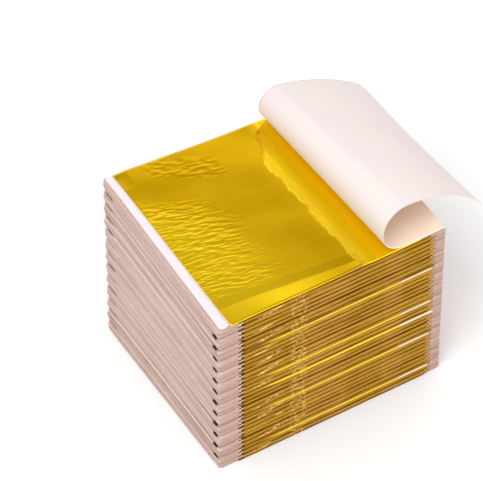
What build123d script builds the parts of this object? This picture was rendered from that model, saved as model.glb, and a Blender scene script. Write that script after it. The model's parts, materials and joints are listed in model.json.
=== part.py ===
from build123d import *
import os
from math import ceil, cos, radians, sin

# A stack of thirteen booklets of imitation gold leaf. Each booklet is a bundle of folded
# tissues, and each folded tissue holds one metal leaf. The top fold lies open: its upper
# flap is the page that curls back to the right, over its own fold line.
# X runs along the gold-striped front, from the open paper edges at -X to the folds at +X.
# Y runs from the front to the back, and Z is up. The origin is the centre of the base.
# Lengths are in millimetres and turns in degrees.

os.makedirs("parts", exist_ok=True)

# Metal leaf
leaf_width = 80.0
leaf_depth = 80.0
leaf_thickness = 0.08
leaf_stagger = 1.1
leaf_clearance = 0.02
bare_leaf_shift = 5.0
bare_leaf_turn = 0.6

# Folded tissue
open_margin = 9.4
fold_margin = 5.3
tissue_thickness = 0.28
corner_radius = 3.0
corner_fullness = 2.0
corner_facets = 3
fold_facets = 3

# Booklets and stack
booklet_count = 13
folds_per_booklet = 8
fold_clearance = 0.045
crown_depth = 0.9
stagger_cycle = 3
swell_share = 0.08
pressed_width = 27.0

# Turned-back page
page_width = 91.0
page_flat_run = 19.4
roll_radius = 8.0
roll_turn = 188.0
spread_radius = 45.0
spread_turn = 44.0
lip_radius = 15.0
lip_turn = -23.0
roll_skew = -3.4
roll_taper_share = 0.16
facet_turn = 18.0
page_open_turn = 55.0
hinge_clearance = 0.02
trim_overrun = 5.0

# Sizes that follow from the ones above
tissue_width = leaf_width + open_margin + fold_margin
tissue_depth = leaf_depth
left_edge = -tissue_width / 2
right_edge = tissue_width / 2
front_edge = -tissue_depth / 2
back_edge = tissue_depth / 2
leaf_centre_x = (open_margin - fold_margin) / 2
leaf_gap = leaf_thickness + 2 * leaf_clearance
fold_height = 2 * tissue_thickness + leaf_gap
fold_pitch = fold_height + fold_clearance
fold_radius = tissue_thickness + leaf_gap / 2
fold_line_x = right_edge - fold_radius
swell_from_x = fold_line_x - pressed_width
top_index = booklet_count * folds_per_booklet - 1
stack_height = top_index * fold_pitch + fold_height


def turn_points(centre_x, centre_y, radius, start, end, facets):
    """The corners of a faceted round turn, from one heading to the other."""
    steps = [start + (end - start) * i / facets for i in range(facets + 1)]
    return [
        (centre_x + radius * cos(radians(a)), centre_y + radius * sin(radians(a)))
        for a in steps
    ]


def crown_share(place):
    """How far a fold is from the middle of its booklet: 0 in the middle, 1 at top and bottom."""
    return (2 * place / (folds_per_booklet - 1) - 1) ** 2


# The turned page presses the folds flat. The loose sheets swell towards the open corner at the
# back: past a crease from the open corner at the front, the stack rises as a slope.
crease_start = Vector(left_edge, front_edge, 0)
crease_along = (Vector(swell_from_x, back_edge, 0) - crease_start).normalized()
crease_across = Vector(0, 0, 1).cross(crease_along)
corner_reach = (Vector(left_edge, back_edge, 0) - crease_start).dot(crease_across)
layer_reach = tissue_width + tissue_depth


def swollen_layer(low, high):
    """A wide layer between two heights, which slopes up past the crease."""
    rise = 1 + swell_share * layer_reach / corner_reach
    under = [(-layer_reach, low), (0, low), (layer_reach, low * rise)]
    over = [(layer_reach, high * rise), (0, high), (-layer_reach, high)]
    side = Plane(origin=crease_start, x_dir=crease_across, z_dir=crease_along)
    outline = make_face(Polyline(*under, *over, close=True))
    return extrude(side * outline, layer_reach, both=True)


def sheet_blank(place, end_x):
    """A sheet seen from above, square at the fold and rounded at its two open corners.

    The sheets at the top and the bottom of a booklet stand back and have fuller corners, so
    that its open side is crowned and small pockets are left between the booklets' corners.
    """
    left = left_edge + crown_depth * crown_share(place)
    radius = corner_radius + corner_fullness * crown_share(place)
    near = turn_points(left + radius, front_edge + radius, radius, 270, 180, corner_facets)
    far = turn_points(left + radius, back_edge - radius, radius, 180, 90, corner_facets)
    outline = [(end_x, front_edge)] + near + far + [(end_x, back_edge)]
    return extrude(make_face(Polyline(*outline, close=True)), stack_height * (1 + swell_share))


def tissue_fold(index):
    """One tissue folded in two, with the gap that its leaf lies in."""
    low = index * fold_pitch
    high = low + fold_height
    blank = sheet_blank(index % folds_per_booklet, fold_line_x)
    lower_flap = swollen_layer(low, low + tissue_thickness) & blank
    upper_flap = swollen_layer(high - tissue_thickness, high) & blank
    middle = low + fold_height / 2
    turn = turn_points(fold_line_x, middle, fold_radius, -90, 90, fold_facets)
    section = Plane.XZ * make_face(Polyline(*turn, close=True))
    return lower_flap + extrude(section, tissue_depth / 2, both=True) + upper_flap


def leaf_layer(index):
    """The space that a leaf takes up between the two flaps of its tissue."""
    low = index * fold_pitch + tissue_thickness + leaf_clearance
    return swollen_layer(low, low + leaf_thickness)


def leaf_blank():
    """A leaf seen from above, with its centre at the origin."""
    return extrude(Rectangle(leaf_width, leaf_depth), stack_height * (1 + swell_share))


def metal_leaf(index):
    """One leaf, lying on the lower half of its tissue, flush with the front and the back."""
    return leaf_layer(index) & Pos(leaf_centre_x + stagger_step(index), 0, 0) * leaf_blank()


def bare_metal_leaf():
    """The leaf that shows on top: it lies to the left of the others and a little askew."""
    seat = Pos(leaf_centre_x - bare_leaf_shift, 0, 0) * Rot(0, 0, bare_leaf_turn)
    return leaf_layer(top_index) & seat * leaf_blank()


def stagger_step(index):
    """Leaves lie a step to the left, in the middle or a step to the right, in turn."""
    return leaf_stagger * (index % stagger_cycle - (stagger_cycle - 1) / 2)


# The rolled page
# Flat on the stack, it has a distance from its fold line and a place along that line. The
# roll's straight lines are askew to the fold by roll_skew, and the roll is larger at the front.
hinge_z = top_index * fold_pitch + fold_height / 2
page_middle_radius = leaf_gap / 2 + tissue_thickness / 2
page_middle_z = hinge_z + page_middle_radius
skew = radians(roll_skew)
away = Vector(-cos(skew), sin(skew), 0)
along = Vector(sin(skew), cos(skew), 0)
fold_start = Vector(fold_line_x, 0, page_middle_z)
roll_bends = [(roll_radius, roll_turn), (spread_radius, spread_turn), (lip_radius, lip_turn)]


def roll_size(place):
    """How large the roll is at a place along its straight lines, and 1 at the middle."""
    return 1 - roll_taper_share * place / back_edge


def roll_course(distance):
    """Where the roll has got to after a distance: run, rise and heading in radians."""
    run, rise, heading, left = 0.0, 0.0, 0.0, distance
    for radius, turn in roll_bends:
        side = 1 if turn > 0 else -1
        bend = min(left / radius, radians(abs(turn)))
        run += side * radius * (sin(heading + side * bend) - sin(heading))
        rise -= side * radius * (cos(heading + side * bend) - cos(heading))
        heading += side * bend
        left = max(left - radius * bend, 0.0)
    return run + left * cos(heading), rise + left * sin(heading), heading


def roll_place(distance, edge_y):
    """The place on the roll's straight line that meets the front or the back edge."""
    reach = page_flat_run + distance
    slope = cos(skew) - distance * roll_taper_share / back_edge * sin(skew)
    return (edge_y - reach * sin(skew)) / slope


def roll_point(distance, place):
    """A point on the middle of the rolled paper."""
    run, rise, _ = roll_course(distance)
    size = roll_size(place)
    return (
        fold_start
        + away * (page_flat_run + run * size)
        + along * place
        + Vector(0, 0, rise * size)
    )


def paper_section(front, back, across):
    """A cut through the paper along one straight line, half its thickness each way."""
    half = across.normalized() * (tissue_thickness / 2)
    corners = [front - half, front + half, back + half, back - half]
    return make_face(Polyline(*corners, close=True))


def fold_sections():
    """The turned paper at the fold line, round the axis that the page swings on."""
    start = page_open_turn - 90
    facets = ceil((90 - start) / (2 * facet_turn))
    sections = []
    for x, z in turn_points(fold_line_x, hinge_z, page_middle_radius, start, 90, facets):
        outward = Vector(x - fold_line_x, 0, z - hinge_z)
        sections.append(paper_section(Vector(x, front_edge, z), Vector(x, back_edge, z), outward))
    return sections


def roll_section(distance):
    """The rolled paper along the straight line at a distance past the start of the roll."""
    heading = roll_course(distance)[2]
    front = roll_point(distance, roll_place(distance, front_edge))
    back = roll_point(distance, roll_place(distance, back_edge))
    tangent = away * cos(heading) + Vector(0, 0, sin(heading))
    return paper_section(front, back, tangent.cross(back - front))


def free_corner(edge_y):
    """The page's free corner at the front or the back, and its distance round the roll."""
    reach = page_width * cos(skew) + edge_y * sin(skew)
    place = edge_y * cos(skew) - page_width * sin(skew)
    distance = (reach - page_flat_run) / roll_size(place)
    return roll_point(distance, place), distance


def turned_back_page():
    """The upper flap of the open fold, with its roll, trimmed along its free edge."""
    front_corner, _ = free_corner(front_edge)
    back_corner, longest = free_corner(back_edge)
    stops, passed = [0.0], 0.0
    for radius, turn in roll_bends:
        facets = ceil(abs(turn) / facet_turn)
        arc = radius * radians(abs(turn))
        stops += [passed + arc * (i + 1) / facets for i in range(facets)]
        passed += arc
    stops.append(longest + trim_overrun)
    paper = loft(fold_sections() + [roll_section(stop) for stop in stops], ruled=True)
    heading = roll_course(longest)[2]
    onward = away * cos(heading) + Vector(0, 0, sin(heading))
    edge_line = back_corner - front_corner
    trim_plane = Plane(origin=front_corner, x_dir=edge_line, z_dir=edge_line.cross(onward))
    trim_length = edge_line.length + 4 * trim_overrun
    waste = Box(
        trim_length,
        page_width,
        4 * trim_overrun,
        align=(Align.MIN, Align.MIN, Align.CENTER),
    )
    return paper - trim_plane * Pos(-2 * trim_overrun, 0, 0) * waste


def write_node(name, solids):
    """Writes the solids of one piece to its own file."""
    pieces = [solid for part in solids for solid in part.solids()]
    export_step(pieces[0] if len(pieces) == 1 else Compound(pieces), f"parts/{name}.step")


for booklet in range(booklet_count):
    is_top = booklet == booklet_count - 1
    first = booklet * folds_per_booklet
    last = first + folds_per_booklet - (1 if is_top else 0)
    tissues = [tissue_fold(index) for index in range(first, last)]
    leaves = [metal_leaf(index) for index in range(first, last)]
    write_node(f"booklet_{booklet + 1:02d}_tissue_folds", tissues)
    write_node(f"booklet_{booklet + 1:02d}_metal_leaves", leaves)

# The open fold on top of the stack
flap_base = top_index * fold_pitch
flap_blank = sheet_blank(folds_per_booklet - 1, fold_line_x - hinge_clearance)
lower_flap = swollen_layer(flap_base, flap_base + tissue_thickness) & flap_blank
write_node("open_fold_lower_flap", [lower_flap])
write_node("exposed_metal_leaf", [bare_metal_leaf()])
write_node("turned_back_page", [turned_back_page()])

print(f"stack {tissue_width:.1f} x {tissue_depth:.1f} x {stack_height:.2f} mm")
print(f"fold line of the page at x {fold_line_x:.3f}, z {hinge_z:.3f}")
print(f"page corners front {free_corner(front_edge)[0]}, back {free_corner(back_edge)[0]}")
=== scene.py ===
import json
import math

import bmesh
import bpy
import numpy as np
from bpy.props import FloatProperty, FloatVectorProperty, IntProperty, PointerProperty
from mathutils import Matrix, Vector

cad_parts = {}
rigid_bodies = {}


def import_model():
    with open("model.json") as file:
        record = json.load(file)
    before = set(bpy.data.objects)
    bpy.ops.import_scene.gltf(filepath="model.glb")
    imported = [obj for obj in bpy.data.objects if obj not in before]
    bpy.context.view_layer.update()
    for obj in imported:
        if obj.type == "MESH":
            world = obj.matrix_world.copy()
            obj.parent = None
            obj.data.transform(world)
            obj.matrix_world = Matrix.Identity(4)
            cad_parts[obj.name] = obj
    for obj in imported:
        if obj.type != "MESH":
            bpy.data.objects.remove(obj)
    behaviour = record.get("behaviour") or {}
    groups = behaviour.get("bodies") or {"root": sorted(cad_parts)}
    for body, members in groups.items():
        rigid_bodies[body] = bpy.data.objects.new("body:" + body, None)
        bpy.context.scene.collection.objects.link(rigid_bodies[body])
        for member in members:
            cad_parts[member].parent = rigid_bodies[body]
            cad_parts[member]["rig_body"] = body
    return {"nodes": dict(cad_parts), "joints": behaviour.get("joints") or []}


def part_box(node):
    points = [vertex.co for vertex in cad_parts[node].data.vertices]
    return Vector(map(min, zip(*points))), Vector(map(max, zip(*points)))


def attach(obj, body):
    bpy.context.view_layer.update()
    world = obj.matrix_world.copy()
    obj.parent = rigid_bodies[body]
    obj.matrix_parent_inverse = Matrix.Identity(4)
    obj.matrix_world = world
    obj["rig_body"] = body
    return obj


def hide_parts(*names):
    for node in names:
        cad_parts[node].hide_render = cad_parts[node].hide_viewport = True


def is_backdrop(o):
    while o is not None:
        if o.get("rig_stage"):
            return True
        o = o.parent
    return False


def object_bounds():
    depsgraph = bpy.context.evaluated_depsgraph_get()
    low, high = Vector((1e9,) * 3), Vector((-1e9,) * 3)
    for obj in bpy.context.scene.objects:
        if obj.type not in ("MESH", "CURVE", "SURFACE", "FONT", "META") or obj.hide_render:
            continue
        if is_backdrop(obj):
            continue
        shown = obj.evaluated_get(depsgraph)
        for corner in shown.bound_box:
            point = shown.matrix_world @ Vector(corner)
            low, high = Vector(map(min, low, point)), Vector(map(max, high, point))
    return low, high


bl_info = {
    "name": "Gold Leaf Booklets",
    "version": (1, 0, 0),
    "blender": (4, 5, 0),
    "location": "3D View > Sidebar > Leaf Booklets",
    "description": "A stack of gold leaf booklets with its top page rolled back from a bare leaf",
    "category": "Mesh",
}

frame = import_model()

# Sizes of the stack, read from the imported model. Lengths are in metres, X runs along the
# gold front from the open paper edges to the folds, Y from front to back, and Z is up.
CAD_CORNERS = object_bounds()
MM = 0.001
TISSUE_NODES = sorted(name for name in frame["nodes"] if name.endswith("_tissue_folds"))
LEAF_NODES = sorted(name for name in frame["nodes"] if name.endswith("_metal_leaves"))
STACK_LOW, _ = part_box(TISSUE_NODES[0])
SECOND_LOW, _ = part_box(TISSUE_NODES[1])
FLAP_LOW, FLAP_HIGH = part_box("open_fold_lower_flap")
LEAVES_LOW, LEAVES_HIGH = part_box(LEAF_NODES[0])
BARE_LOW, BARE_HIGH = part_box("exposed_metal_leaf")
HINGE = next(joint for joint in frame["joints"] if joint["name"] == "page_turn")["pos_m"]

# Folded tissues in a booklet, the count of places that their leaves take in turn, and the
# clearance under a leaf. The crown is how far back a booklet's outer folds lie, and a leaf is
# staggered to the left and right of its middle place.
FOLDS = 8
FOLD_CYCLE = 3
LEAF_GAP = 0.02 * MM
LEFT, FRONT, BACK = STACK_LOW.x, FLAP_LOW.y, FLAP_HIGH.y
DEPTH = BACK - FRONT
MIDDLE = (FRONT + BACK) / 2
FOLD_LINE = HINGE[0]
PITCH = (SECOND_LOW.z - STACK_LOW.z) / FOLDS
TOP_INDEX = len(TISSUE_NODES) * FOLDS - 1
OPEN_BASE = (TOP_INDEX - FOLDS + 1) * PITCH
FOLD_HEIGHT = 2 * (HINGE[2] - TOP_INDEX * PITCH)
PAPER = BARE_LOW.z - FLAP_LOW.z - LEAF_GAP
ROOT_RADIUS = (FOLD_HEIGHT - 2 * PAPER) / 2 + PAPER / 2
FLAP_TOP = FLAP_LOW.z + PAPER
CROWN = (FLAP_LOW.x - LEFT) / (1 - 1 / (FOLDS - 1) ** 2)
LEAF_SIZE = LEAVES_HIGH.y - LEAVES_LOW.y
LEAF_THICKNESS = 0.03 * MM
STAGGER = (LEAVES_HIGH.x - LEAVES_LOW.x - LEAF_SIZE) / 2
LEAF_LEFT = LEAVES_LOW.x + STAGGER
LEAF_RIGHT = LEAF_LEFT + LEAF_SIZE
LEAF_LIFT = FOLD_HEIGHT / 2


class Wire:
    """A value that runs through a node tree. Sums on it add the Math nodes that they need."""

    def __init__(self, plan, socket):
        self.plan = plan
        self.socket = socket

    def math(self, operation, *values):
        numbered = dict(enumerate(values))
        return self.plan.node("ShaderNodeMath", {"operation": operation}, numbered)

    def __add__(self, other):
        return self.math("ADD", self, other)

    def __radd__(self, other):
        return self.math("ADD", other, self)

    def __sub__(self, other):
        return self.math("SUBTRACT", self, other)

    def __rsub__(self, other):
        return self.math("SUBTRACT", other, self)

    def __mul__(self, other):
        return self.math("MULTIPLY", self, other)

    def __rmul__(self, other):
        return self.math("MULTIPLY", other, self)

    def __truediv__(self, other):
        return self.math("DIVIDE", self, other)

    def __pow__(self, other):
        return self.math("POWER", self, other)

    def __mod__(self, other):
        return self.math("FLOORED_MODULO", self, other)


class Plan:
    """A node tree that is drawn up with calls, whether it shapes a mesh or colours it."""

    def __init__(self, tree):
        self.tree = tree
        tree.nodes.clear()

    def node(self, kind, setup=None, values=None, output=0):
        """Adds a node, sets it up, then fills its sockets, and gives one output."""
        made = self.tree.nodes.new(kind)
        for name, choice in (setup or {}).items():
            if name == "stops":
                self.fill_ramp(made.color_ramp, choice)
            else:
                setattr(made, name, choice)
        for key, value in (values or {}).items():
            self.join(made.inputs[key], value)
        return Wire(self, made.outputs[output]) if made.outputs else None

    def join(self, socket, value):
        if isinstance(value, Wire):
            self.tree.links.new(value.socket, socket)
        else:
            socket.default_value = value

    def fill_ramp(self, ramp, stops):
        while len(ramp.elements) < len(stops):
            ramp.elements.new(1.0)
        for element, (place, colour) in zip(ramp.elements, stops):
            element.position = place
            element.color = (*colour, 1.0)

    def parts(self, vector):
        """The three numbers of a vector."""
        split = self.tree.nodes.new("ShaderNodeSeparateXYZ")
        self.join(split.inputs[0], vector)
        return [Wire(self, socket) for socket in split.outputs]

    def vector(self, x, y, z):
        return self.node("ShaderNodeCombineXYZ", None, {0: x, 1: y, 2: z})

    def blend(self, share, first, second):
        """Goes from the first colour to the second as share goes from 0 to 1."""
        colours = [c if isinstance(c, Wire) else (*c, 1.0) for c in (first, second)]
        setup = {"data_type": "RGBA", "clamp_factor": True}
        return self.node("ShaderNodeMix", setup, {0: share, 6: colours[0], 7: colours[1]}, 2)

    def ease(self, value, start, end, low=0.0, high=1.0):
        """Goes smoothly from low to high while the value goes from start to end."""
        setup = {"interpolation_type": "SMOOTHSTEP", "clamp": True}
        values = {0: value, 1: start, 2: end, 3: low, 4: high}
        return self.node("ShaderNodeMapRange", setup, values)

    def band(self, value, start, end, soft):
        """Is 1 between start and end, and fades to 0 outside over the soft length."""
        rise = self.ease(value, start - soft, start)
        return rise * (1.0 - self.ease(value, end, end + soft))

    def reaches(self, value, number):
        """Is 1 where a whole number is this number or more, and 0 elsewhere."""
        return self.ease(value, number - 0.6, number - 0.4)

    def before(self, value, number):
        """Is 1 where a whole number is less than this number, and 0 elsewhere."""
        return self.ease(value, number - 0.4, number - 0.6)

    def noise(self, vector, detail=2.0):
        """A cloudy pattern of about 0 to 1, one cloud for each unit of the vector."""
        values = {"Vector": vector, "Scale": 1.0, "Detail": detail}
        return self.node("ShaderNodeTexNoise", None, values)

    def chance(self, number, seed):
        """An even random number of 0 to 1 for each whole number."""
        setup = {"noise_dimensions": "1D"}
        return self.node("ShaderNodeTexWhiteNoise", setup, {"W": number * 1.37 + seed})

    def attribute(self, name):
        """A value that is kept on the mesh, read in a material."""
        return self.node("ShaderNodeAttribute", {"attribute_name": name}, output="Fac")

    def place(self):
        """The Object coordinates of a point of a surface."""
        return self.parts(self.node("ShaderNodeTexCoord", output="Object"))

    def clouds(self, size, detail):
        """A cloudy pattern on a surface, whose clouds have this size along X, Y and Z."""
        scaled = (axis * (1.0 / length) for axis, length in zip(self.place(), size))
        return self.noise(self.vector(*scaled), detail)


def clamp(value):
    """Keeps a wire or an array between 0 and 1."""
    if isinstance(value, Wire):
        return value.math("MINIMUM", value.math("MAXIMUM", value, 0.0), 1.0)
    return np.clip(value, 0.0, 1.0)


def sine(value):
    """The sine of a wire or an array."""
    return value.math("SINE", value) if isinstance(value, Wire) else np.sin(value)


def falling(value):
    """A wire that falls from 1 at zero as a bell curve does."""
    square = value * value * -1.0
    return square.math("EXPONENT", square)


def a_length(name, description, millimetres):
    """A setting that is a length."""
    default = millimetres * MM
    return FloatProperty(name=name, description=description, default=default, unit="LENGTH")


def an_angle(name, description, degrees):
    """A setting that is an angle."""
    default = math.radians(degrees)
    return FloatProperty(name=name, description=description, default=default, subtype="ANGLE")


def a_share(name, description, default):
    """A setting that is a share, from 0 to 1."""
    return FloatProperty(name=name, description=description, default=default, subtype="FACTOR")


def a_colour(name, description, default):
    """A setting that is a colour."""
    return FloatVectorProperty(name=name, description=description, default=default, subtype="COLOR")


class TissueSettings(bpy.types.PropertyGroup):
    corner_radius: a_length("Corner radius", "Rounding of the open corners", 0.7)
    corner_fullness: a_length("Corner fullness", "Extra rounding of a booklet's outer sheets", 0.8)
    pocket_depth: a_length("Pocket depth", "How deep the dark pockets near the front corner go", 2.6)
    pocket_place: a_length("Pocket place", "Distance of the pockets from the front", 3.0)
    unevenness: a_length("Unevenness", "How far single sheets stand in or out", 0.30)
    light_colour: a_colour("Light paper", "The lighter tissues", (0.74, 0.56, 0.50))
    dark_colour: a_colour("Dark paper", "The darker tissues", (0.34, 0.225, 0.19))
    bare_colour: a_colour("Bare tissue", "The tissue that lies open on top", (0.77, 0.705, 0.735))


class LeafSettings(bpy.types.PropertyGroup):
    lip_drop: a_length("Lip drop", "How far the edge of a leaf hangs over its tissue", 0.60)
    lip_flare: a_length("Lip flare", "How far a lip stands out from the tissue edges", 0.16)
    crinkle_height: a_length("Crinkle height", "Height of the fine ripples in the bare leaf", 0.11)
    bare_turn: an_angle("Bare leaf turn", "How far the bare leaf lies askew", 0.6)
    top_colour: a_colour("Bare leaf", "Metal colour of the bare leaf", (1.0, 0.66, 0.012))
    edge_light: a_colour("Light edge", "Metal colour of the lighter leaf edges", (0.56, 0.30, 0.03))
    edge_dark: a_colour("Dark edge", "Metal colour of the darker leaf edges", (0.13, 0.045, 0.001))
    # The glint colour is a painted highlight on the long bright lines.
    glint_colour: a_colour("Glint", "Metal colour where a lip catches the light", (0.92, 0.66, 0.05))


class PageSettings(bpy.types.PropertyGroup):
    width: a_length("Width", "Length of the page from its fold to its free edge", 91.0)
    flat_run: a_length("Flat run", "How far the page lies flat before it rolls up", 19.4)
    roll_radius: a_length("Roll radius", "Radius of the tight roll", 8.0)
    roll_turn: an_angle("Roll turn", "How far the tight roll turns at the front", 188.0)
    roll_turn_back: an_angle("Roll turn at the back", "How far it turns at the back", 200.0)
    spread_radius: a_length("Spread radius", "Radius of the wide bend after the roll", 45.0)
    spread_radius_back: a_length(
        "Spread radius at the back", "Radius of the wide bend at the back", 140.0
    )
    skew: an_angle("Skew", "Angle between the roll and the fold line", -3.4)
    taper_share: a_share("Taper", "How much smaller the roll gets towards the back", 0.16)
    outer_colour: a_colour("Outside", "Paper colour of the outside of the page", (0.775, 0.70, 0.685))
    inner_colour: a_colour("Inside", "Paper colour of the inside of the roll", (0.90, 0.73, 0.60))


class StageSettings(bpy.types.PropertyGroup):
    focal_length: FloatProperty(
        name="Focal length", description="Lens of the camera, for a sensor 36 mm wide",
        default=298.14,
    )
    camera_azimuth: an_angle("Camera azimuth", "Turn of the camera round the stack", -31.4058)
    camera_elevation: an_angle("Camera elevation", "Height of the camera as an angle", 46.8309)
    key_power: FloatProperty(
        name="Key light", description="Power of the soft light from the front left", default=6.5,
    )
    sky_strength: FloatProperty(
        name="Sky", description="Strength of the studio's own soft light", default=1.2,
    )


class BookletSettings(bpy.types.PropertyGroup):
    tissue: PointerProperty(type=TissueSettings)
    leaf: PointerProperty(type=LeafSettings)
    page: PointerProperty(type=PageSettings)
    stage: PointerProperty(type=StageSettings)
    swell_share: a_share("Swelling", "How much thicker the stack is at its back left corner", 0.08)
    swell_start: a_length("Swelling start", "X where the swelling begins", 20.0)
    seed: IntProperty(name="Seed", description="Picks the chance variations", default=7)


def settings():
    """What the panel's user has set."""
    return bpy.context.scene.leaf_booklets


# The swelling grows with this power towards the open side. In its corner, thin gaps open between
# the booklets. Layers sway a little where they are well above the base, in waves that are told
# in radians for each metre across or along, and for each metre up.
SWELL_POWER = 1.4
GAP_REACH, GAP_FADE, GAP_SHARE = 9.0 * MM, 6.0 * MM, 1.6
SWAY_HEIGHT, SWAY_LOWEST, SWAY_FADE = 0.10 * MM, 8.0 * MM, 14.0 * MM
SWAY_ACROSS, SWAY_ALONG, SWAY_START = (95.0, 60.0), (70.0, 35.0), 1.1


def settle(x, y, z, base):
    """The height of a point of the stack once the stack has swollen at its back left corner.

    base is the height of the booklet that the point is in: near the open back corner the
    booklets keep their own thickness, so that thin gaps open between them.
    """
    choice = settings()
    start = choice.swell_start
    across = clamp((start - x) / (start - LEFT)) ** SWELL_POWER
    along = clamp((y - FRONT) / DEPTH)
    loose = clamp((x - LEFT - GAP_REACH) / -GAP_FADE) * clamp((y - BACK + GAP_REACH) / GAP_FADE)
    height = base + (z - base) * (1.0 - loose * GAP_SHARE)
    sway = sine(x * SWAY_ACROSS[0] + z * SWAY_ACROSS[1])
    sway = sway * sine(y * SWAY_ALONG[0] + z * SWAY_ALONG[1] + SWAY_START)
    calm = clamp(z / SWAY_LOWEST) * clamp((start - x) / SWAY_FADE)
    return z + height * across * along * choice.swell_share + sway * calm * SWAY_HEIGHT


def crowded(start, end, count):
    """Places from start to end that lie closer together near both ends."""
    return start + (end - start) * (0.5 - 0.5 * np.cos(np.linspace(0, math.pi, count)))


def thin_sheet(name, upper, lower, marks=None):
    """A closed thin sheet between two grids of points, with marks as named values."""
    rows, columns = upper.shape[:2]
    number = np.arange(rows * columns).reshape(rows, columns)
    under = number + rows * columns
    grid = [number[:-1, :-1], number[:-1, 1:], number[1:, 1:], number[1:, :-1]]
    faces = np.stack([corner.ravel() for corner in grid], 1)
    faces = np.concatenate([faces, faces[:, ::-1] + rows * columns])
    rim = np.concatenate([number[0, :], number[1:, -1], number[-1, -2::-1], number[-2::-1, 0]])
    below = np.concatenate([under[0, :], under[1:, -1], under[-1, -2::-1], under[-2::-1, 0]])
    edge = np.stack([below[:-1], below[1:], rim[1:], rim[:-1]], 1)
    points = np.concatenate([upper.reshape(-1, 3), lower.reshape(-1, 3)])
    mesh = bpy.data.meshes.new(name)
    mesh.from_pydata(points.tolist(), [], np.concatenate([faces, edge]).tolist())
    for mark, values in (marks or {}).items():
        kept = mesh.attributes.new(mark, "FLOAT", "POINT")
        kept.data.foreach_set("value", np.asarray(values, np.float32).ravel())
    solid = bmesh.new()
    solid.from_mesh(mesh)
    bmesh.ops.recalc_face_normals(solid, faces=solid.faces)
    solid.to_mesh(mesh)
    solid.free()
    return mesh


def show(name, mesh, material=None, smooth=True):
    """A finished piece at the origin, with its place in its mesh."""
    piece = bpy.data.objects.new(name, mesh)
    bpy.context.scene.collection.objects.link(piece)
    if material:
        mesh.materials.clear()
        mesh.materials.append(material)
    if smooth:
        mesh.shade_smooth()
    else:
        mesh.shade_flat()
    return piece


def rough(u, v, seed):
    """Random heights of -1 to 1 that change smoothly over each unit of u and v."""
    cells = 128
    lattice = np.random.default_rng(seed).uniform(-1, 1, (cells, cells))
    whole_u, whole_v = np.floor(u).astype(int), np.floor(v).astype(int)
    part_u, part_v = u - whole_u, v - whole_v
    part_u, part_v = (t * t * (3 - 2 * t) for t in (part_u, part_v))
    corner = lambda i, j: lattice[(whole_u + i) % cells, (whole_v + j) % cells]
    near = corner(0, 0) * (1 - part_u) + corner(1, 0) * part_u
    far = corner(0, 1) * (1 - part_u) + corner(1, 1) * part_u
    return near * (1 - part_v) + far * part_v


def smooth_step(value, start, end):
    """Goes smoothly from 0 to 1 while an array goes from start to end."""
    share = np.clip((value - start) / (end - start), 0, 1)
    return share * share * (3 - 2 * share)


SOCKETS = {
    float: "NodeSocketFloat", int: "NodeSocketInt", bpy.types.Material: "NodeSocketMaterial",
}


def new_tree(name, inputs):
    """An empty tree for a mesh, with named inputs, and its plan and input wires."""
    tree = bpy.data.node_groups.new(name, "GeometryNodeTree")
    plan = Plan(tree)
    tree.interface.new_socket("Geometry", in_out="OUTPUT", socket_type="NodeSocketGeometry")
    tree.interface.new_socket("Geometry", in_out="INPUT", socket_type="NodeSocketGeometry")
    for label, kind in inputs.items():
        tree.interface.new_socket(label, in_out="INPUT", socket_type=SOCKETS[kind])
    entry = tree.nodes.new("NodeGroupInput")
    return tree, plan, {socket.name: Wire(plan, socket) for socket in entry.outputs if socket.name}


def stacked_sheets(plan, wires):
    """Copies of the base sheet, one on another, each of which knows its number in the stack."""
    start = plan.vector(0.0, 0.0, wires["First"] * wires["Pitch"])
    step = plan.vector(0.0, 0.0, wires["Pitch"])
    line = plan.node(
        "GeometryNodeMeshLine", {"mode": "OFFSET", "count_mode": "TOTAL"},
        {"Count": wires["Count"], "Start Location": start, "Offset": step},
    )
    number = plan.node("GeometryNodeInputIndex") + wires["First"]
    spots = {"Points": keep_value(plan, line, "sheet", number), "Instance": wires["Geometry"]}
    copies = plan.node("GeometryNodeInstanceOnPoints", None, spots)
    return plan.node("GeometryNodeRealizeInstances", None, {"Geometry": copies})


def point_of_sheet(plan):
    """A point of a stacked sheet, the sheet's number, and its place in its booklet and cycle."""
    sheet = plan.node("GeometryNodeInputNamedAttribute", {"data_type": "FLOAT"}, {"Name": "sheet"})
    point = plan.parts(plan.node("GeometryNodeInputPosition"))
    return point, sheet, sheet % float(FOLDS), sheet % float(FOLD_CYCLE)


def keep_value(plan, shape, name, value):
    """Stores a number on each point of a mesh under a name."""
    kept = {"data_type": "FLOAT", "domain": "POINT"}
    values = {"Geometry": shape, "Name": name, "Value": value}
    return plan.node("GeometryNodeStoreNamedAttribute", kept, values)


def move_points(plan, shape, x, y, z):
    """Puts each point of a mesh where x, y and z say."""
    values = {"Geometry": shape, "Position": plan.vector(x, y, z)}
    return plan.node("GeometryNodeSetPosition", None, values)


def close_tree(plan, shape, material):
    """Ends a tree: nothing is left as a copy, and the finish is on."""
    real = plan.node("GeometryNodeRealizeInstances", None, {"Geometry": shape})
    finished = plan.node("GeometryNodeSetMaterial", None, {"Geometry": real, "Material": material})
    plan.node("NodeGroupOutput", None, {"Geometry": finished})


STACK_INPUTS = {
    "Count": int, "First": int, "Pitch": float, "Seed": int, "Material": bpy.types.Material,
}
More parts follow.
